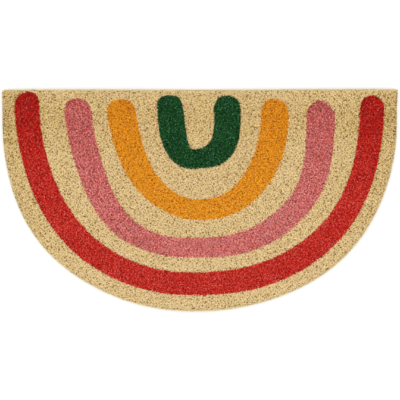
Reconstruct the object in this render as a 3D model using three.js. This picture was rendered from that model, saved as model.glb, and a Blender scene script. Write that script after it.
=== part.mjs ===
// A half-moon coir doormat: one flat slab of coconut fibre, tufted through a vinyl
// backing, shorn level on top and die-cut along a straight edge and a deep curve.
// Millimetres. +X runs along the straight edge, +Y points at it, +Z is up out of the pile.
// The origin is on the underside, at the middle of the mat's box.
import * as THREE from 'three';

// Overall sizes: the mat is about 700 wide, 393 deep and 15 thick
const THICKNESS = 15;
const BACKING = 2.2;          // the vinyl that holds the roots of the fibres
const PILE_SPLAY = 1.3;       // how far the pile at the rim leans out over the backing
const CUT_DRAFT = 0.4;        // how much the cut draws in across the backing
const RIM_ROUND = 2.4;        // radius where the shorn top turns down into the rim

// The straight edge, which bows a little and rises towards its right end
const EDGE_Y = 195.4;
const EDGE_BOW = 0.45;
const EDGE_BOW_LENGTH = 470;
const EDGE_BOW_PEAK_X = -215;
const EDGE_SLOPE = 0.0012;

// The two sides, from the corners down to where the curve begins
const CURVE_TOP_Y = 141;
const SIDES = {
  left: { sign: -1, reach: 348, flare: 0.8, corner: 4.5, squareness: 2.21 },
  right: { sign: 1, reach: 349.2, flare: 2.0, corner: 2.0, squareness: 2.15 },
};

// The curve below them: a half of a squarish oval with one slow wave from the cutting
const CURVE_DEPTH = 336.6;
const CURVE_MIDDLE_X = -1.2;
const CUT_WAVE = 1.2;
const CUT_WAVE_HALF_TURNS = 7;
const CUT_WAVE_SHIFT = 3.74;

// The shorn top isn't dead level: slow swells, a few tenths of a millimetre high
const SWELL = 0.3;
const SWELL_LENGTH_X = 260;
const SWELL_LENGTH_Y = 210;

// How finely each stretch of the outline is stepped
const STEPS = { edge: 34, corner: 5, side: 6, curve: 96, rimRound: 3 };
const TOP_RINGS = [0.97, 0.88, 0.74, 0.57, 0.38, 0.19];

// The straight edge's height over x
function edgeY(x) {
  const bow = EDGE_BOW * Math.cos((2 * Math.PI * (x - EDGE_BOW_PEAK_X)) / EDGE_BOW_LENGTH);
  return EDGE_Y + bow + EDGE_SLOPE * x;
}

// One side's distance from the middle: it flares out slowly from the curve to the corner
function sideX(side, y, inset) {
  const up = Math.max(y - CURVE_TOP_Y, 0) / (EDGE_Y - CURVE_TOP_Y);
  return CURVE_MIDDLE_X + side.sign * (side.reach - inset + side.flare * up * up);
}

// A point of the curve; angle is 0 at the left end, 90 degrees at the bottom, 180 at the right
function curvePoint(angle, inset) {
  const side = Math.cos(angle) > 0 ? SIDES.left : SIDES.right;
  const power = 2 / side.squareness;
  const acrossPart = side.sign * (side.reach - inset) * Math.abs(Math.cos(angle)) ** power;
  const downPart = (CURVE_DEPTH - inset) * Math.sin(angle) ** power;
  const fade = Math.sqrt(Math.sin(angle));
  const wave = CUT_WAVE * fade * Math.sin(CUT_WAVE_HALF_TURNS * angle + CUT_WAVE_SHIFT);
  const grow = 1 + wave / Math.hypot(acrossPart, downPart);
  return new THREE.Vector2(CURVE_MIDDLE_X + acrossPart * grow, CURVE_TOP_Y - downPart * grow);
}

// The rounded corner between the straight edge and one side, stepped from the edge round
function cornerPoints(side, inset) {
  const radius = Math.max(side.corner - inset, 0.5);
  const outerX = sideX(side, EDGE_Y, inset);
  const centreX = outerX - side.sign * radius;
  const centreY = edgeY(outerX) - inset - radius;
  const points = [];
  for (let i = 0; i <= STEPS.corner; i += 1) {
    const turn = (Math.PI / 2) * (i / STEPS.corner);
    const x = centreX + side.sign * radius * Math.sin(turn);
    points.push(new THREE.Vector2(x, centreY + radius * Math.cos(turn)));
  }
  return points;
}

// The nearly straight side, from just under the corner to just above the curve
function sidePoints(side, inset, cornerEnd) {
  const points = [];
  for (let i = 1; i < STEPS.side; i += 1) {
    const y = THREE.MathUtils.lerp(cornerEnd.y, CURVE_TOP_Y, i / STEPS.side);
    points.push(new THREE.Vector2(sideX(side, y, inset), y));
  }
  return points;
}

// The whole outline, anticlockwise from above, drawn in by inset all round
function outline(inset) {
  const leftCorner = cornerPoints(SIDES.left, inset);
  const rightCorner = cornerPoints(SIDES.right, inset);
  const points = [];
  for (let i = 1; i < STEPS.edge; i += 1) {
    const x = THREE.MathUtils.lerp(rightCorner[0].x, leftCorner[0].x, i / STEPS.edge);
    points.push(new THREE.Vector2(x, edgeY(x) - inset));
  }
  points.push(...leftCorner);
  points.push(...sidePoints(SIDES.left, inset, leftCorner[STEPS.corner]));
  for (let i = 0; i <= STEPS.curve; i += 1) {
    points.push(curvePoint((Math.PI * i) / STEPS.curve, inset));
  }
  points.push(...sidePoints(SIDES.right, inset, rightCorner[STEPS.corner]).reverse());
  points.push(...rightCorner.reverse());
  return points;
}

// The rim from the underside up: cut vinyl, splayed pile, then the round into the top
function rimRings() {
  const rings = [
    { z: 0, inset: PILE_SPLAY + CUT_DRAFT },
    { z: BACKING, inset: PILE_SPLAY },
  ];
  for (let i = 0; i <= STEPS.rimRound; i += 1) {
    const turn = (Math.PI / 2) * (i / STEPS.rimRound);
    const z = THICKNESS - SWELL - RIM_ROUND * (1 - Math.sin(turn));
    rings.push({ z, inset: RIM_ROUND * (1 - Math.cos(turn)) });
  }
  return rings.map(({ z, inset }) => outline(inset).map((p) => [p.x, p.y, z]));
}

// The height of the shorn top at a point, level at the rim and swelling slowly inside it
function topHeight(x, y, ringScale) {
  const swell = Math.cos((2 * Math.PI * x) / SWELL_LENGTH_X) * Math.cos((2 * Math.PI * y) / SWELL_LENGTH_Y);
  return THICKNESS - SWELL + SWELL * swell * (1 - ringScale ** 8);
}

// The top, as rings that shrink towards the middle from the rim's last one
function topRings(rim) {
  return TOP_RINGS.map((scale) => rim.map(([x, y]) => {
    const at = [x * scale, y * scale];
    return [at[0], at[1], topHeight(at[0], at[1], scale)];
  }));
}

// A closed skin over the rings, with a point at the middle of the underside and of the top
function slab() {
  const rim = rimRings();
  const rings = [...rim, ...topRings(rim[rim.length - 1])];
  const count = rings[0].length;
  const positions = rings.flat();
  const under = positions.push([0, 0, 0]) - 1;
  const crown = positions.push([0, 0, topHeight(0, 0, 0)]) - 1;
  const faces = [];
  for (let i = 0; i < count; i += 1) {
    const next = (i + 1) % count;
    faces.push(under, next, i);
    for (let ring = 0; ring < rings.length - 1; ring += 1) {
      const low = ring * count;
      const high = low + count;
      faces.push(low + i, low + next, high + next);
      faces.push(low + i, high + next, high + i);
    }
    const last = (rings.length - 1) * count;
    faces.push(last + i, last + next, crown);
  }
  const geometry = new THREE.BufferGeometry();
  geometry.setAttribute('position', new THREE.Float32BufferAttribute(positions.flat(), 3));
  geometry.setIndex(faces);
  geometry.computeVertexNormals();
  return geometry;
}

// Moves a geometry so that the middle of its box is over the origin, standing on z = 0
function centred(geometry) {
  geometry.computeBoundingBox();
  const { min, max } = geometry.boundingBox;
  geometry.translate(-(min.x + max.x) / 2, -(min.y + max.y) / 2, -min.z);
  return geometry;
}

const coir = new THREE.MeshStandardMaterial({ color: '#d0b27b', roughness: 1, metalness: 0 });

const mat = new THREE.Mesh(centred(slab()), coir);
mat.name = 'mat';

const doormat = new THREE.Group();
doormat.name = 'coir_doormat';
doormat.add(mat);

export default doormat;
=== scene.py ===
import bmesh
import bpy
import numpy as np
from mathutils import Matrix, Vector


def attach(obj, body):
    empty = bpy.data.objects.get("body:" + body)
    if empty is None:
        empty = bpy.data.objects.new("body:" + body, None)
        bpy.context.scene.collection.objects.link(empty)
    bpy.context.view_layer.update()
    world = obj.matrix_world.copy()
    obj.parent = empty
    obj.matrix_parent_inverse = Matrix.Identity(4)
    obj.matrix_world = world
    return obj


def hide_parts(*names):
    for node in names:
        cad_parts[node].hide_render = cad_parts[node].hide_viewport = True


# A half-moon coir doormat with four printed bands, lying flat. Metres, in the CAD frame:
# +X along the straight edge, +Y towards it, +Z up out of the pile, z = 0 on the floor.
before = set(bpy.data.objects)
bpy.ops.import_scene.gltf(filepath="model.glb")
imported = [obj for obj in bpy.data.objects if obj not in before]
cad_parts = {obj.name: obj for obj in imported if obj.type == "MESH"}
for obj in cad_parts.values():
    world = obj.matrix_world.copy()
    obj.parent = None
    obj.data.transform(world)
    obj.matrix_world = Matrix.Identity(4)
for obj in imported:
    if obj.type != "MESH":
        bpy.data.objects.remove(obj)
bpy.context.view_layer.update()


# The floor, the light and the camera
# A painted board, pale enough to come out white, under one large soft light. A long lens
# looks straight down, and takes in 707 mm at the height of the pile's top.
MM = 0.001
FLOOR_HALF_WIDTH = 9.0
FLOOR_DROP = 0.05 * MM
FLOOR_PALE = "#CDCDCB"
SKY_STRENGTH = 1.25
SOFTBOX_SIZE = 2.6
SOFTBOX_WATTS = 75.0
SOFTBOX_AT = (-0.05, -0.12, 2.7)
PILE_TOP = 15 * MM
VIEW_WIDTH = 0.7071
VIEW_MIDDLE = (0.0001, 0.00035)
LENS = 100.0
SENSOR = 36.0


def srgb(code):
    """An sRGB hex colour as linear RGBA"""
    parts = np.array([int(code[i:i + 2], 16) / 255 for i in (1, 3, 5)])
    linear = np.where(parts <= 0.04045, parts / 12.92, ((parts + 0.055) / 1.055) ** 2.4)
    return (*[float(part) for part in linear], 1.0)


def new_material(name):
    """A material and its empty node tree"""
    material = bpy.data.materials.new(name)
    material.use_nodes = True
    material.node_tree.nodes.clear()
    return material, material.node_tree


def add_node(tree, kind, inputs=None, stops=None, **settings):
    """Adds a node with its settings; each input is given a value or linked to a socket"""
    made = tree.nodes.new(kind)
    for name, value in settings.items():
        setattr(made, name, value)
    for name, value in (inputs or {}).items():
        if isinstance(value, bpy.types.NodeSocket):
            tree.links.new(value, made.inputs[name])
        else:
            made.inputs[name].default_value = value
    for number, (place, colour) in enumerate(stops or []):
        elements = made.color_ramp.elements
        stop = elements[number] if number < 2 else elements.new(place)
        stop.position = place
        stop.color = srgb(colour)
    return made


def add_object(name, mesh):
    """Puts a mesh into the scene as an object at the origin"""
    made = bpy.data.objects.new(name, mesh)
    bpy.context.scene.collection.objects.link(made)
    return made


# Painted board: rolled flat and matt, so that it shows soft shadow and no grain
floor_paint, tree = new_material("pale_painted_board")
board = add_node(tree, "ShaderNodeBsdfPrincipled", {
    "Base Color": srgb(FLOOR_PALE),
    "Roughness": 0.9,
    "Specular IOR Level": 0.1,
})
add_node(tree, "ShaderNodeOutputMaterial", {"Surface": board.outputs["BSDF"]})

floor_mesh = bpy.data.meshes.new("floor")
bm = bmesh.new()
bmesh.ops.create_grid(bm, x_segments=1, y_segments=1, size=FLOOR_HALF_WIDTH)
bmesh.ops.translate(bm, verts=bm.verts, vec=(0, 0, -FLOOR_DROP))
bm.to_mesh(floor_mesh)
bm.free()
floor_mesh.materials.append(floor_paint)
add_object("floor", floor_mesh)

world = bpy.data.worlds.new("studio")
world.use_nodes = True
sky = world.node_tree.nodes["Background"]
sky.inputs["Color"].default_value = (1, 1, 1, 1)
sky.inputs["Strength"].default_value = SKY_STRENGTH
bpy.context.scene.world = world

softbox = bpy.data.lights.new("softbox", "AREA")
softbox.shape = "SQUARE"
softbox.size = SOFTBOX_SIZE
softbox.energy = SOFTBOX_WATTS
softbox_object = bpy.data.objects.new("softbox", softbox)
softbox_object.location = SOFTBOX_AT
softbox_object.rotation_euler = (-Vector(SOFTBOX_AT)).to_track_quat("-Z", "Y").to_euler()
bpy.context.scene.collection.objects.link(softbox_object)

camera = bpy.data.cameras.new("camera")
camera.lens = LENS
camera.sensor_width = SENSOR
camera_object = bpy.data.objects.new("camera", camera)
camera_object.location = (*VIEW_MIDDLE, PILE_TOP + VIEW_WIDTH * LENS / SENSOR)
bpy.context.scene.collection.objects.link(camera_object)
bpy.context.scene.camera = camera_object
bpy.context.scene.view_settings.view_transform = "Standard"


# The backing and the bed of the pile
# One die-cut slab: vinyl poured 2.2 mm thick round the roots of the coir, and on it the
# packed lower part of the pile, which shows only in the gaps between the bristles.
BACKING = 2.2 * MM
BED_TOP = 12.4 * MM
BED_INSET = 2.5 * MM
BED_DRAW_IN = 0.4 * MM
WELD = 0.001 * MM
SAME_LEVEL = 0.01 * MM
VINYL_BROWN = "#2E2620"
VINYL_BROWN_WORN = "#3A3028"
VINYL_GRAIN = 1.6 * MM
VINYL_PIT_DEPTH = 0.2 * MM
# The packed coir's browns: root fibre, darkened with painted shade for the gaps
BED_BROWNS_AND_SHADE = ["#654A22", "#9E7A45", "#CAA561"]
BED_STREAK = 0.7 * MM
BED_STREAK_SLIMNESS = 0.12

# Poured vinyl: a dull dark skin with the fine pits of the belt it was cast on
vinyl, tree = new_material("cast_vinyl_backing")
place = add_node(tree, "ShaderNodeTexCoord")
pits = add_node(tree, "ShaderNodeTexNoise", {
    "Vector": place.outputs["Object"],
    "Scale": 1 / VINYL_GRAIN,
    "Detail": 2.0,
})
vinyl_colour = add_node(tree, "ShaderNodeValToRGB", {"Fac": pits.outputs["Fac"]},
                        stops=[(0.35, VINYL_BROWN), (0.65, VINYL_BROWN_WORN)])
pitting = add_node(tree, "ShaderNodeBump", {
    "Height": pits.outputs["Fac"],
    "Strength": 0.5,
    "Distance": VINYL_PIT_DEPTH,
})
skin = add_node(tree, "ShaderNodeBsdfPrincipled", {
    "Base Color": vinyl_colour.outputs["Color"],
    "Roughness": 0.62,
    "IOR": 1.53,
    "Normal": pitting.outputs["Normal"],
})
add_node(tree, "ShaderNodeOutputMaterial", {"Surface": skin.outputs["BSDF"]})


def packed_coir(name, shades):
    """Coir packed tight: dull upright streaks of three shades, a few fibres wide"""
    material, tree = new_material(name)
    place = add_node(tree, "ShaderNodeTexCoord")
    upright = add_node(tree, "ShaderNodeMapping", {
        "Vector": place.outputs["Object"],
        "Scale": (1 / BED_STREAK, 1 / BED_STREAK, BED_STREAK_SLIMNESS / BED_STREAK),
    })
    streaks = add_node(tree, "ShaderNodeTexNoise", {
        "Vector": upright.outputs["Vector"],
        "Scale": 1.0,
        "Detail": 3.0,
        "Roughness": 0.7,
    })
    colour = add_node(tree, "ShaderNodeValToRGB", {"Fac": streaks.outputs["Fac"]},
                      stops=list(zip((0.35, 0.5, 0.65), shades)))
    packed = add_node(tree, "ShaderNodeBsdfPrincipled", {
        "Base Color": colour.outputs["Color"],
        "Roughness": 0.9,
        "Specular IOR Level": 0.1,
    })
    add_node(tree, "ShaderNodeOutputMaterial", {"Surface": packed.outputs["BSDF"]})
    return material


def merged_cad_mat():
    """The CAD mat as a bmesh with its loose triangles joined"""
    copy = bmesh.new()
    copy.from_mesh(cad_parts["mat"].data)
    bmesh.ops.remove_doubles(copy, verts=copy.verts, dist=WELD)
    return copy


# The vinyl is the CAD slab up to 2.2 mm, closed on top; the bed is drawn up out of it
bm = merged_cad_mat()
half_width = max(v.co.x for v in bm.verts)
half_depth = max(v.co.y for v in bm.verts)
bmesh.ops.bisect_plane(bm, geom=bm.verts[:] + bm.edges[:] + bm.faces[:], dist=WELD,
                       plane_co=(0, 0, BACKING), plane_no=(0, 0, 1), clear_outer=True)
lid = bmesh.ops.contextual_create(bm, geom=[e for e in bm.edges if e.is_boundary])["faces"]
for rise, inset in [(0, BED_INSET), (BED_TOP - BACKING, BED_DRAW_IN)]:
    drawn = bmesh.ops.extrude_face_region(bm, geom=lid)["geom"]
    bmesh.ops.delete(bm, geom=lid, context="FACES_ONLY")
    lid = [part for part in drawn if isinstance(part, bmesh.types.BMFace)]
    corners = [part for part in drawn if isinstance(part, bmesh.types.BMVert)]
    bmesh.ops.translate(bm, verts=corners, vec=(0, 0, rise))
    bmesh.ops.scale(bm, verts=corners,
                    vec=(1 - inset / half_width, 1 - inset / half_depth, 1))
bmesh.ops.triangulate(bm, faces=lid)
bmesh.ops.recalc_face_normals(bm, faces=bm.faces)
for face in bm.faces:
    face.material_index = int(face.calc_center_median().z > BACKING + SAME_LEVEL)
base_mesh = bpy.data.meshes.new("mat_base")
bm.to_mesh(base_mesh)
bm.free()
base_mesh.materials.append(vinyl)
base_mesh.materials.append(packed_coir("packed_natural_coir", BED_BROWNS_AND_SHADE))
base = add_object("mat_base", base_mesh)
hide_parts("mat")
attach(base, "root")


# The dye in the bed
# Dye is pressed down through a stencil with four round-ended arches, one inside another,
# cut by hand, so that each wanders and swells a little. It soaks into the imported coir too.

# Millimetres, left before right. An arch is the lower half of a squarish oval that hangs
# from y = 186: the x of its middle, its reach to each side, its depth, and how square each
# half is. Its band is as wide as given at the left end, the bottom and the right end, and
# its ends stop at the heights in "top". Its line wanders and its width swells by a size,
# in so many half turns from end to end, begun at a shift. Each round end is stretched,
# squared and tilted.
ARCH_TOP = 186.0
ARCHES = {
    "red": {
        "middle": -17.0, "reach": (289.3, 322.3), "depth": 333.4, "square": (2.16, 2.39),
        "width": (45.3, 41.7, 43.8), "top": (193.6, 188.9),
        "wander": (0.52, 6.91, 2.45), "swell": (0.96, 4.81, 4.09),
        "ends": ((1.16, 2.20, 0.14), (1.11, 2.07, -0.03)),
    },
    "pink": {
        "middle": -40.5, "reach": (174.4, 256.1), "depth": 269.6, "square": (2.09, 2.87),
        "width": (49.7, 35.5, 50.1), "top": (182.1, 180.6),
        "wander": (1.67, 7.08, 1.33), "swell": (1.29, 5.39, 3.29),
        "ends": ((1.16, 2.27, -0.10), (1.18, 1.85, -0.09)),
    },
    "mustard": {
        "middle": -14.1, "reach": (127.7, 146.8), "depth": 202.4, "square": (1.88, 2.52),
        "width": (50.2, 38.2, 50.0), "top": (179.6, 181.6),
        "wander": (1.28, 6.16, 2.95), "swell": (1.73, 3.13, 0.25),
        "ends": ((1.19, 2.64, -0.05), (1.12, 2.26, -0.05)),
    },
    "green": {
        "middle": -8.7, "reach": (47.3, 59.5), "depth": 115.4, "square": (2.11, 2.76),
        "width": (47.7, 37.4, 51.1), "top": (187.1, 186.9),
        "wander": (2.90, 4.40, 3.39), "swell": (2.73, 4.10, 5.14),
        "ends": ((1.17, 2.72, -0.06), (1.19, 2.32, 0.0)),
    },
}
ARCH_STEPS = 361
END_START = 5.0
END_STEPS = 14
CORNER_STEP = 2.0
CORNER_SOFTNESS = 11
# Dyed packed coir, darker than the tips: partly dye, partly painted shade for the gaps
DYED_BED_AND_SHADE = {
    "red": ["#5C130E", "#8E221B", "#B0352B"],
    "pink": ["#6E3834", "#A05C56", "#BE7A74"],
    "mustard": ["#7C4C14", "#B0701C", "#CC8C34"],
    "green": ["#08200E", "#0F3219", "#174526"],
}
DYED_BED_DEPTH = 1.5 * MM
DYED_BED_RISE = 0.2 * MM


def run_along(line):
    """How far along a line each of its points lies"""
    return np.concatenate([[0], np.cumsum(np.hypot(*np.diff(line, axis=0).T))])


def evenly_stepped(line, step):
    """The same line with its points one even step apart"""
    run = run_along(line)
    even = np.arange(0, run[-1], step)
    return np.stack([np.interp(even, run, line[:, i]) for i in (0, 1)], axis=1)


def unit(ways):
    """Flat directions brought to a length of one"""
    return ways / np.hypot(*ways.T)[:, None]


def rightwards(ways):
    """Flat directions turned a quarter to the right"""
    return np.stack([ways[:, 1], -ways[:, 0]], axis=1)


def arch_line(arch):
    """An arch's middle line from its left end to its right, and half its width there"""
    turn = np.linspace(0, np.pi, ARCH_STEPS)
    across = np.cos(turn)
    left = across > 0
    reach = np.where(left, -arch["reach"][0], arch["reach"][1])
    power = 2 / np.where(left, arch["square"][0], arch["square"][1])
    x = reach * np.abs(across) ** power
    y = -arch["depth"] * np.sin(turn) ** power
    size, half_turns, shift = arch["wander"]
    grow = 1 + size * np.sin(half_turns * turn + shift) / np.hypot(x, y)
    line = np.stack([arch["middle"] + x * grow, ARCH_TOP + y * grow], axis=1)
    size, half_turns, shift = arch["swell"]
    ends = np.where(left, arch["width"][0], arch["width"][2])
    width = arch["width"][1] + (ends - arch["width"][1]) * across ** 2
    half = (width + size * np.sin(half_turns * turn + shift)) / 2
    limit = np.where(line[:, 0] < arch["middle"], arch["top"][0] - half[0],
                     arch["top"][1] - half[-1])
    shown = line[:, 1] < limit
    return line[shown], half[shown]


def softened(line):
    """One side of a band with its tight corners rounded, as a knife rounds them"""
    line = evenly_stepped(line, CORNER_STEP)
    reach = CORNER_SOFTNESS // 2
    padded = np.concatenate([line[:1]] * reach + [line] + [line[-1:]] * reach)
    window = np.hanning(CORNER_SOFTNESS + 2)[1:-1]
    return np.stack([np.convolve(padded[:, i], window / window.sum(), "valid")
                     for i in (0, 1)], axis=1)


def round_end(line, way, half, shape):
    """The round end of a band beyond one end of its middle line, from right to left"""
    stretch, square, tilt = shape
    turn = np.linspace(0, np.pi, END_STEPS)
    off = half * np.abs(np.cos(turn)) ** (2 / square) * np.sign(np.cos(turn))
    beyond = half * stretch * np.sin(turn) ** (2 / square) - END_START + tilt * off
    return line + way * beyond[:, None] + np.array([way[1], -way[0]]) * off[:, None]


def arch_outline(arch):
    """The stencil's opening for an arch, as one closed line: two sides and two round ends"""
    line, half = arch_line(arch)
    way = unit(np.gradient(line, axis=0))
    run = run_along(line)
    kept = (run > END_START) & (run < run[-1] - END_START)
    reach = rightwards(way)[kept] * half[kept, None]
    outer = softened(line[kept] + reach)
    inner = softened(line[kept] - reach)
    left_end = round_end(line[0], -way[0], half[0], arch["ends"][0])
    right_end = round_end(line[-1], way[-1], half[-1], arch["ends"][1])
    return np.concatenate([outer, right_end, inner[::-1], left_end])


for colour, arch in ARCHES.items():
    bm = bmesh.new()
    corners = [bm.verts.new((x * MM, y * MM, BED_TOP - DYED_BED_DEPTH))
               for x, y in arch_outline(arch)]
    bottom = bm.faces.new(corners)
    drawn = bmesh.ops.extrude_face_region(bm, geom=[bottom])["geom"]
    top_corners = [part for part in drawn if isinstance(part, bmesh.types.BMVert)]
    bmesh.ops.translate(bm, verts=top_corners, vec=(0, 0, DYED_BED_DEPTH + DYED_BED_RISE))
    bmesh.ops.triangulate(bm, faces=bm.faces)
    bmesh.ops.recalc_face_normals(bm, faces=bm.faces)
    mesh = bpy.data.meshes.new("packed_" + colour)
    bm.to_mesh(mesh)
    bm.free()
    mesh.materials.append(packed_coir("packed_" + colour + "_coir", DYED_BED_AND_SHADE[colour]))
    piece = add_object("packed_" + colour, mesh)
    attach(piece, "root")


# The rows of bristles
# Coir yarn stands in tufts in the vinyl, and the mat is stamped out of it with a steel
# rule, so that every row ends on one clean line, the widest ring of the CAD slab. A
# bristle here stands for a few real fibres, because one is only 0.2 mm thick.

# A repeat is how many cells each way have random numbers of their own
SEED = 41
PITCH = 1.08 * MM
JITTER = 0.30
TUFT_PITCH = 2.6 * MM
TUFT_SHIFT = 0.35
TUFT_PULL = 0.14
TUFT_REPEAT = 400
EVENNESS = 0.6
RIM_STEP = 0.45 * MM
RIM_CLEARANCE = 0.25 * MM
RIM_ROW_UNEVEN = (-0.35 * MM, 0.45 * MM)
RIM_ROW_DEPTH = 0.3 * MM
RIM_STRIP = 2.2 * MM
BODY_START = 0.9 * MM
STENCIL_BLUR = 0.7 * MM

random = np.random.default_rng(SEED)

bm = merged_cad_mat()
widest = max(bm.verts, key=lambda v: v.co.x).co.z
ring = np.array([v.co[:2] for v in bm.verts if abs(v.co.z - widest) < SAME_LEVEL])
bm.free()
ring = ring[np.argsort(np.arctan2(ring[:, 1], ring[:, 0]))]
rim_line = evenly_stepped(np.concatenate([ring, ring[:1]]), RIM_STEP)
rim_facing = unit(rightwards(np.roll(rim_line, -1, axis=0) - np.roll(rim_line, 1, axis=0)))
rim_bearing = np.arctan2(rim_line[:, 1], rim_line[:, 0])
rim_reach = np.hypot(*rim_line.T)


def rim_at(points):
    """Each point's depth inside the cut line, and the way the cut faces nearest to it"""
    bearing = np.arctan2(points[:, 1], points[:, 0])
    reach, *faced = [np.interp(bearing, rim_bearing, column, period=2 * np.pi)
                     for column in (rim_reach, *rim_facing.T)]
    facing = unit(np.stack(faced, axis=1))
    distance = np.hypot(*points.T)
    outward = points / np.maximum(distance, MM)[:, None]
    return (reach - distance) * np.abs((outward * facing).sum(axis=1)), facing


def evened(noise):
    """Takes the average of its neighbours from each number, so that no patch comes out dark"""
    around = sum(np.roll(noise, (down, over), axis=(0, 1)) for down in (-1, 0, 1)
                 for over in (-1, 0, 1))
    flat = noise - around / 9 * EVENNESS
    return flat / flat.std()


def grid_points():
    """A loose honeycomb of places, each drawn into its tuft, and a random number for each"""
    rows = np.arange(-half_depth, half_depth, PITCH * np.sqrt(3) / 2)
    columns = np.arange(-half_width, half_width, PITCH)
    x, y = np.meshgrid(columns, rows)
    x[1::2] += PITCH / 2
    points = np.stack([x.ravel(), y.ravel()], axis=1)
    points += random.normal(0, JITTER * PITCH, points.shape)
    tuft = np.round(points / TUFT_PITCH)
    shifts = random.uniform(-TUFT_SHIFT, TUFT_SHIFT, (TUFT_REPEAT, TUFT_REPEAT, 2))
    cell = tuft.astype(int) % TUFT_REPEAT
    middle = (tuft + shifts[cell[:, 0], cell[:, 1]]) * TUFT_PITCH
    return points + (middle - points) * TUFT_PULL, evened(random.normal(size=x.shape)).ravel()


def printed(points, outline):
    """Which points lie inside a closed line"""
    x, y = points.T
    inside = np.zeros(len(points), bool)
    for (x1, y1), (x2, y2) in zip(outline, np.roll(outline, -1, axis=0)):
        if y1 != y2:
            inside ^= ((y1 > y) != (y2 > y)) & (x < x1 + (x2 - x1) * (y - y1) / (y2 - y1))
    return inside


# One more row stands on the cut line itself, and counts as just inside it
points, own = grid_points()
inside = rim_at(points)[0] > RIM_CLEARANCE
rim_row = rim_line + rim_facing * random.uniform(*RIM_ROW_UNEVEN, (len(rim_line), 1))
points = np.concatenate([points[inside], rim_row])
depth, facing = rim_at(points)
depth[-len(rim_row):] = RIM_ROW_DEPTH
on_rim = depth < RIM_STRIP
in_body = depth > BODY_START

# The dye creeps a little under the stencil, so a band's edge is as ragged as its bristles
dyed = np.full(len(points), "natural", dtype=object)
blurred = points + random.normal(0, STENCIL_BLUR, points.shape)
for colour, arch in ARCHES.items():
    dyed[printed(blurred / MM, arch_outline(arch))] = colour


# The shades of the fibres
# No two coconut fibres are of one brown, and those of one yarn are alike. Small pits open
# between the tufts, with darker fibre and painted shade in them. The dyed arches darken up
# their legs, and the natural pile carries painted shade and painted light across the mat.

# Square cells of fibres from one yarn, slow patches, and the spread of shades they make.
# The grids are turned, in degrees, so that the squares don't show as rows.
CELL = 1.8 * MM
CELL_TURN = 27
CELL_REPEAT = 997
CELL_SHARE = 0.6
PATCH = 24 * MM
PATCH_SIZE = 0.06
PATCH_REPEAT = 64
SHADE_SPREAD = {"natural": 0.56, "red": 0.80, "pink": 0.78, "mustard": 0.63, "green": 0.70}
LOGISTIC = 1.702
SHADE_LIMITS = (0.03, 0.97)

# The pits, one in each square of a grid, anywhere between a tenth and nine tenths of it
HOLLOW_PITCH = 4.9 * MM
HOLLOW_TURN = 52
HOLLOW_REPEAT = 199
HOLLOW_SPOT = (0.1, 0.9)
HOLLOW_RADIUS = (0.65 * MM, 1.60 * MM)
HOLLOW_BROWN_AND_SHADE = 3.0

# Where the pile is a little darker or paler, in places by painted light and shade: from where
# to where, along x or y, and by how much. LOWER counts downwards from the origin.
RIM_DARKER = 0.1
RIM_CURVE_PAINTED_LIGHT = 0.15
EDGE_PAINTED_LIGHT = 0.45
EDGE_FADE = 5.0 * MM
LEGS = (-40 * MM, 190 * MM)
LEGS_DARKER = {"red": 0.8, "pink": 0.5, "mustard": 0.35}
SIDES = (210 * MM, 350 * MM)
SIDES_PAINTED_SHADE = 0.34
UPPER = (90 * MM, 140 * MM)
UPPER_PAINTED_SHADE = 0.32
UPPER_END = (150 * MM, 185 * MM)
UPPER_RELIEF = 0.6
LOWER = (20 * MM, 140 * MM)
LOWER_PAINTED_LIGHT = 0.13
BUILD_UP = 1.5


def turned(points, angle):
    """Points turned about the origin by an angle in degrees, to set a grid askew"""
    turn = np.radians(angle)
    return points @ np.array([[np.cos(turn), np.sin(turn)], [-np.sin(turn), np.cos(turn)]])


def between(values, start, end):
    """0 up to the start, 1 from the end on, and rising evenly from one to the other"""
    return np.clip((values - start) / (end - start), 0, 1)


def cell_noise(points):
    """One random number for each square cell, the same for all that stands in it"""
    cells = np.floor(turned(points, CELL_TURN) / CELL).astype(int) % CELL_REPEAT
    return evened(random.normal(size=(CELL_REPEAT, CELL_REPEAT)))[cells[:, 0], cells[:, 1]]


def patch_noise(points):
    """Slow random swells, about one patch across"""
    spots = random.normal(size=(PATCH_REPEAT, PATCH_REPEAT))
    place = points / PATCH + PATCH_REPEAT / 2
    low = np.floor(place).astype(int)
    part = place - low
    across, up = (part * part * (3 - 2 * part)).T
    x, y = (low % (PATCH_REPEAT - 1)).T
    near = spots[x, y] * (1 - across) + spots[x + 1, y] * across
    far = spots[x, y + 1] * (1 - across) + spots[x + 1, y + 1] * across
    return near * (1 - up) + far * up


def in_hollow(points):
    """Which bristles stand short in the pits between tufts, dark with their fibre and painted
    shade
    """
    points = turned(points, HOLLOW_TURN)
    cell = np.floor(points / HOLLOW_PITCH).astype(int)
    x, y = (cell % HOLLOW_REPEAT).T
    spot = random.uniform(*HOLLOW_SPOT, (HOLLOW_REPEAT, HOLLOW_REPEAT, 2))[x, y]
    radius = random.uniform(*HOLLOW_RADIUS, (HOLLOW_REPEAT, HOLLOW_REPEAT))[x, y]
    return np.hypot(*(points - (cell + spot) * HOLLOW_PITCH).T) < radius


# A bristle's mood is a random number about 0, dark below it and pale above
own = np.concatenate([own[inside], random.normal(size=len(rim_row))])
mood = np.sqrt(CELL_SHARE) * cell_noise(points) + np.sqrt(1 - CELL_SHARE) * own
mood += PATCH_SIZE * patch_noise(points)
for colour, spread in SHADE_SPREAD.items():
    mood[dyed == colour] *= spread
# Bristles in the pits take the darkest shades: partly darker fibre, partly painted shade
hollow = in_hollow(points) & ~on_rim
mood -= np.where(hollow, HOLLOW_BROWN_AND_SHADE, 0)

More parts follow.
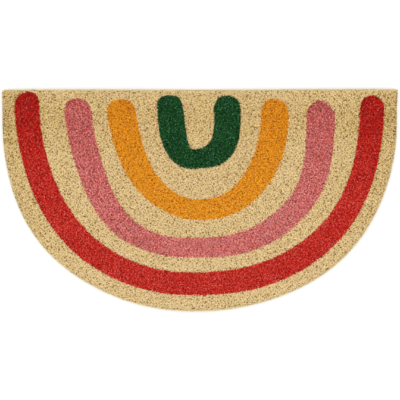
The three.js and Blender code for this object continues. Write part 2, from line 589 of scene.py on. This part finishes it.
# The cut rim is a little darker than the body. Round the curve it gets painted light, most
# where it faces down the mat, and so does the pile just inside the straight edge.
up_or_down = facing[:, 1] ** 2
mood -= np.where(on_rim, RIM_DARKER, 0)
mood += np.where(on_rim & (facing[:, 1] < 0), RIM_CURVE_PAINTED_LIGHT * up_or_down, 0)
painted_light_strip = 1 - between(depth, RIM_STRIP, RIM_STRIP + EDGE_FADE)
mood += np.where(facing[:, 1] > 0, EDGE_PAINTED_LIGHT * painted_light_strip * up_or_down, 0)

# The dyed bands darken up their legs. Natural coir gets painted shade to the sides and
# towards the straight edge, and painted light towards the curve.
x, y = points.T
for colour, darker in LEGS_DARKER.items():
    mood -= np.where(dyed == colour, darker * between(y, *LEGS) ** BUILD_UP, 0)
upper_shade_profile = between(y, *UPPER) * (1 - UPPER_RELIEF * between(y, *UPPER_END))
mood -= np.where(dyed == "natural", SIDES_PAINTED_SHADE * between(np.abs(x), *SIDES) ** BUILD_UP
                 + UPPER_PAINTED_SHADE * upper_shade_profile - LOWER_PAINTED_LIGHT * between(-y, *LOWER), 0)

# The logistic curve turns moods into shades, from 0 for the darkest to 1 for the palest.
# At a spread of 1 all shades would be about as common; below it the middle ones are more so.
shade = np.clip(1 / (1 + np.exp(-LOGISTIC * mood)), *SHADE_LIMITS)


# The shorn tips
# The shears level the pile to a few tenths of a millimetre, 15 mm above the floor, and a
# little lower at the rim and in the pits. They miss a thin end here and there.
TIP_HEIGHT = 14.65 * MM
TIP_SPREAD = 0.38 * MM
TIP_LIMITS = (13.4 * MM, 15.3 * MM)
RIM_ROUND = 2.4 * MM
RIM_ROUND_SHARE = 0.6
HOLLOW_DEPTH = 1.0 * MM
STRAY_SHARE = 0.07

tip_height = np.clip(random.normal(TIP_HEIGHT, TIP_SPREAD, len(points)), *TIP_LIMITS)
into_round = np.maximum(RIM_ROUND - depth, 0)
rim_drop = RIM_ROUND - np.sqrt(np.maximum(RIM_ROUND ** 2 - into_round ** 2, 0))
tip_height -= RIM_ROUND_SHARE * rim_drop + np.where(hollow, HOLLOW_DEPTH, 0)
tips = np.concatenate([points, tip_height[:, None]], axis=1)
stray = random.uniform(size=len(points)) < STRAY_SHARE


# The cut rim
# Round the cut line whole bristles of coconut fibre show from root to tip. They root in
# the vinyl and splay out over it, and fine broken ends spring out past the line.
BRISTLE_UNEVEN = 0.3
CORNER_UNEVEN = 0.22
RIM_WIDTH = 0.31 * MM
RIM_ROOT_HEIGHT = 2.0 * MM
RIM_SPLAY = 1.5 * MM
RIM_LEAN = 0.7 * MM
RIM_TAPER = 0.95
FINE_END = 0.20 * MM
FUZZ_STEP = 3
FUZZ_ROOT = 1.0 * MM
FUZZ_REACH = (0.3 * MM, 1.8 * MM)
FUZZ_SPREAD = 0.8 * MM
FUZZ_HEIGHTS = (4 * MM, 13 * MM)
FUZZ_RISE = (0.5 * MM, 2.5 * MM)
FUZZ_SHADES = (0.4, 0.97)

# A bristle takes its colours from a chart, its UV map.
# Across the chart runs the shade, and up it, from 0 to 1, the height on the bristle, which
# covers a narrow strip. The cuts, sides and feet below are pairs of such heights.
CHART_NAME = "OFBake"
CHART_HALF_WIDTH = 0.011
POST_CUT = (0.93, 0.985)
POST_SIDE = (0.9, 0.35)
POST_FOOT = (0.3, 0.34)
FINE_SIDE = (0.55, 0.97)
FINE_FOOT = (0.5, 0.54)
DYE_FADE = (0.1, 0.75)
FIBRES_IN_BRISTLE = 4
STREAK_RUN = 1.5
STREAK_NOISE = (0.3, 0.7)
STREAK_SHADES = (0.66, 1.26)

# The sockets of a Mix node for colours, by number, because its other kinds share the names
MIX_FACTOR, MIX_A, MIX_B, MIX_RESULT = 0, 6, 7, 2


def uneven(count):
    """Random factors about 1, for sizes that no two bristles share"""
    return 1 + random.uniform(-BRISTLE_UNEVEN, BRISTLE_UNEVEN, (count, 1))


def triangle_ring(middle, radius):
    """Three corners round each middle, unevenly spaced"""
    count = len(middle)
    turn = (random.uniform(0, 2 * np.pi, (count, 1)) + np.arange(3) * 2 * np.pi / 3
            + random.normal(0, CORNER_UNEVEN, (count, 3)))
    out = radius * uneven(count)
    offsets = np.stack([out * np.cos(turn), out * np.sin(turn), np.zeros((count, 3))], axis=2)
    return middle[:, None, :] + offsets


def cap(sides_up, middle_up):
    """Where the three corners of a bristle's end lie on its strip of the chart"""
    return ((-1, sides_up), (1, sides_up), (0, middle_up))


def on_chart(shades, spots):
    """Places on the chart for spots, from -1 to 1 across the strip, of every bristle"""
    spots = np.array(spots)
    across = shades[:, None] + spots[:, 0] * CHART_HALF_WIDTH
    return np.stack([across, np.broadcast_to(spots[:, 1], across.shape)], axis=2)


# There are a quarter of a million bristles, too many for a bmesh, so arrays hold them
def bristles(corners, faces, chart, shades):
    """Many bristles from one pattern: all their corners, faces and chart places"""
    numbers = (np.arange(len(corners)) * corners.shape[1])[:, None, None] + np.array(faces)
    places = np.concatenate([on_chart(shades, spots) for spots in chart], axis=1)
    return corners.reshape(-1, 3), numbers.reshape(-1, 3), places.reshape(-1, 2)


def posts(top, bottom, shades):
    """Closed three-sided posts between two rings of three corners"""
    high, low = POST_SIDE
    faces = [(0, 1, 2), (5, 4, 3)]
    chart = [cap(*POST_CUT), cap(*POST_FOOT)]
    for a, b in [(0, 1), (1, 2), (2, 0)]:
        faces += [(b, a, a + 3), (b, a + 3, b + 3)]
        chart += [((1, high), (-1, high), (-1, low)), ((1, high), (-1, low), (1, low))]
    return bristles(np.concatenate([top, bottom], axis=1), faces, chart, shades)


def spikes(ring, point, shades, ring_cap, side, point_above):
    """Closed spikes from a ring of three corners to a point below it or above it"""
    ring_up, point_up = side
    flank = ((1, ring_up), (-1, ring_up), (0, point_up))
    faces = [(0, 1, 2), (1, 0, 3), (2, 1, 3), (0, 2, 3)]
    chart = [cap(*ring_cap), flank, flank, flank]
    if point_above:
        faces = [face[::-1] for face in faces]
        chart = [spots[::-1] for spots in chart]
    return bristles(np.concatenate([ring, point[:, None, :]], axis=1), faces, chart, shades)


def fine_ends(foot, high, shades):
    """Thin ends that taper from a ring of three corners to a free point above"""
    return spikes(foot, high, shades, FINE_FOOT, FINE_SIDE, point_above=True)


def rim_bristles(which):
    """Whole bristles round the cut line, rooted in the vinyl and splaying out over it"""
    tip = tips[which]
    top = triangle_ring(tip, RIM_WIDTH)
    low = tip.copy()
    low[:, :2] -= facing[which] * RIM_SPLAY * uneven(len(low))
    low[:, :2] -= rightwards(facing[which]) * random.normal(0, RIM_LEAN, (len(low), 1))
    low[:, 2] = RIM_ROOT_HEIGHT
    bottom = low[:, None, :] + (top - tip[:, None, :]) * (RIM_TAPER, RIM_TAPER, 0)
    return posts(top, bottom, shade[which])


def rim_fuzz():
    """Fine ends that spring out past the cut line all round"""
    outward = rim_facing[::FUZZ_STEP]
    count = len(outward)
    foot = rim_line[::FUZZ_STEP] - outward * FUZZ_ROOT
    out = outward * (FUZZ_ROOT + random.uniform(*FUZZ_REACH, (count, 1)))
    low = np.concatenate([foot, random.uniform(*FUZZ_HEIGHTS, (count, 1))], axis=1)
    high = low.copy()
    high[:, :2] += out + random.normal(0, FUZZ_SPREAD, (count, 2))
    high[:, 2] += random.uniform(*FUZZ_RISE, count)
    shades = random.uniform(*FUZZ_SHADES, count)
    return fine_ends(triangle_ring(low, FINE_END), high, shades)


def pile_material(name, stops, root_colour_and_shade):
    """Dull bristles from the chart: shades across, the root low, its colour partly painted
    shade, and fine streaks
    """
    material, tree = new_material(name)
    chart = add_node(tree, "ShaderNodeUVMap", uv_map=CHART_NAME)
    parts = add_node(tree, "ShaderNodeSeparateXYZ", {"Vector": chart.outputs["UV"]})
    tip = add_node(tree, "ShaderNodeValToRGB", {"Fac": parts.outputs["X"]}, stops=stops)
    height = add_node(tree, "ShaderNodeMapRange", {
        "Value": parts.outputs["Y"],
        "From Min": DYE_FADE[0],
        "From Max": DYE_FADE[1],
    }, interpolation_type="SMOOTHSTEP")
    whole = add_node(tree, "ShaderNodeMix", {
        MIX_FACTOR: height.outputs["Result"],
        MIX_A: srgb(root_colour_and_shade),
        MIX_B: tip.outputs["Color"],
    }, data_type="RGBA")
    lengthwise = add_node(tree, "ShaderNodeMapping", {
        "Vector": chart.outputs["UV"],
        "Scale": (FIBRES_IN_BRISTLE / (2 * CHART_HALF_WIDTH), STREAK_RUN, 1),
    })
    streaks = add_node(tree, "ShaderNodeTexNoise", {
        "Vector": lengthwise.outputs["Vector"],
        "Scale": 1.0,
        "Detail": 1.0,
    }, noise_dimensions="2D")
    streak = add_node(tree, "ShaderNodeMapRange", {
        "Value": streaks.outputs["Fac"],
        "From Min": STREAK_NOISE[0],
        "From Max": STREAK_NOISE[1],
        "To Min": STREAK_SHADES[0],
        "To Max": STREAK_SHADES[1],
    })
    streaked = add_node(tree, "ShaderNodeHueSaturation", {
        "Color": whole.outputs[MIX_RESULT],
        "Value": streak.outputs["Result"],
    })
    fibre = add_node(tree, "ShaderNodeBsdfPrincipled", {
        "Base Color": streaked.outputs["Color"],
        "Roughness": 0.8,
        "IOR": 1.5,
        "Specular IOR Level": 0.06,
    })
    add_node(tree, "ShaderNodeOutputMaterial", {"Surface": fibre.outputs["BSDF"]})
    return material


def pile_piece(name, parts, material):
    """Joins bristles into one mesh and fixes it to the mat"""
    corners, faces, places = zip(*parts)
    starts = np.cumsum([0] + [len(part) for part in corners[:-1]])
    mesh = bpy.data.meshes.new(name)
    mesh.from_pydata(np.concatenate(corners), [],
                     np.concatenate([part + start for part, start in zip(faces, starts)]))
    chart = mesh.uv_layers.new(name=CHART_NAME)
    chart.uv.foreach_set("vector", np.concatenate(places).astype(np.float32).ravel())
    mesh.materials.append(material)
    piece = add_object(name, mesh)
    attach(piece, "root")
    return piece


# Natural coir, dry and rough, so it hardly shines: straw, with ginger, grey-green and a
# few dark brown fibres among it. Its darkest shades also give the pits their painted shade,
# and its root brown is partly dust and partly painted shade deep in the pile.
natural_coir = pile_material("natural_coir_fibre", [
    (0.00, "#3B220A"), (0.08, "#694519"), (0.20, "#C09E58"), (0.30, "#CFBB78"),
    (0.42, "#E0C288"), (0.54, "#DBCB9A"), (0.68, "#E7CB9F"), (0.82, "#E2D2AA"),
    (1.00, "#ECD5B6"),
], "#8A6838")
pile_piece("pile_rim", [rim_bristles(on_rim), rim_fuzz()], natural_coir)


# The natural pile
# The undyed body of the mat, shorn coconut fibre rooted in the bed. Each bristle is a long
# thin spike that leans its own way, so that its back shows from above. The body is in
# three pieces, each of which stays under 200,000 triangles.
BRISTLE_WIDTH = 0.55 * MM
BRISTLE_SHOWN = 3.0 * MM
BRISTLE_SLOPE = (0.1, 0.9)
BRISTLE_HEAD = 1 / 3
BACK_CUT = (0.95, 0.6)
BACK_SIDE = (0.9, 0.04)
ROOT_RUN = 0.7
ROOT_HEIGHT = 10.8 * MM
LEAN_INWARD = 3.5 * MM
STRAY_ROOT = 12.6 * MM
STRAY_TOP = 15.9 * MM
STRAY_LEAN = 1.6 * MM


def cut_bristles(which):
    """Bristles that lean any way, but near the rim inwards; the tip lies on the back"""
    tip = tips[which]
    count = len(tip)
    lean = random.uniform(0, 2 * np.pi, count)
    way = np.stack([np.cos(lean), np.sin(lean), np.zeros(count)], axis=1)
    outward = (way[:, :2] * facing[which]).sum(axis=1)
    over_rim = (depth[which] < LEAN_INWARD) & (outward > 0)
    way[over_rim, :2] -= 2 * (outward[:, None] * facing[which])[over_rim]
    aside = np.stack([-way[:, 1], way[:, 0], way[:, 2]], axis=1)
    length = BRISTLE_SHOWN * uneven(count)
    half = BRISTLE_WIDTH * uneven(count) / 2
    fall = length * random.uniform(*BRISTLE_SLOPE, (count, 1))
    head = tip - way * length * BRISTLE_HEAD
    tail = head + way * length - fall * (0, 0, 1)
    back = np.stack([head + aside * half, head - aside * half, tail], axis=1)
    root = head + way * length * ROOT_RUN
    root[:, 2] = ROOT_HEIGHT
    return spikes(back, root, shade[which], BACK_CUT, BACK_SIDE, point_above=False)


def stray_ends(which):
    """Thin ends that the shears missed, standing a millimetre proud and leaning over"""
    low = tips[which] * (1, 1, 0) + (0, 0, STRAY_ROOT)
    foot = triangle_ring(low, FINE_END)
    high = low + random.normal(0, STRAY_LEAN, low.shape)
    high[:, 2] = random.uniform(TIP_HEIGHT, STRAY_TOP, len(low))
    return fine_ends(foot, high, shade[which])


def body_of_pile(name, which, material):
    """One piece of the body of the pile: its bristles and its stray ends"""
    parts = [cut_bristles(which & in_body & ~stray), stray_ends(which & in_body & stray)]
    pile_piece(name, parts, material)


thirds = np.quantile(points[dyed == "natural", 0], [1 / 3, 2 / 3])
third = np.searchsorted(thirds, points[:, 0])
for number, side in enumerate(("left", "middle", "right")):
    here = (dyed == "natural") & (third == number)
    body_of_pile("pile_natural_" + side, here, natural_coir)


# The dyed pile
# The four printed bands, the same bristles of coir. The dye colours the top few
# millimetres; below it each bristle turns to a darker root colour, partly undyed fibre and
# partly painted shade deep in the pile, which shows only in the pits.

# Dyed coir is as dull as natural coir; its pale fibres take the dye thinly, its dark ones
# drown it. The colours run from the darkest shade, which also gives the pits their painted
# shade, to the palest, and the last is the root colour, partly painted shade.
DYE_STOPS = (0.00, 0.10, 0.25, 0.45, 0.70, 1.00)
DYES = {
    "red": (["#3A0404", "#780907", "#AA100D", "#C41913", "#D43E2C", "#E67269"], "#4A1C12"),
    "pink": (["#2E0808", "#711514", "#B63734", "#CE665F", "#DE8A84", "#F1B2AE"], "#582F22"),
    "mustard": (["#530C02", "#8D2E04", "#CA720E", "#DC9412", "#E7A528", "#F3B353"], "#5D390E"),
    "green": (["#020503", "#050B06", "#091A0B", "#103412", "#19591F", "#588C6A"], "#0A1C0A"),
}
for colour, (shades, root_colour_and_shade) in DYES.items():
    dyed_coir = pile_material(colour + "_dyed_coir", list(zip(DYE_STOPS, shades)), root_colour_and_shade)
    body_of_pile("pile_" + colour, dyed == colour, dyed_coir)
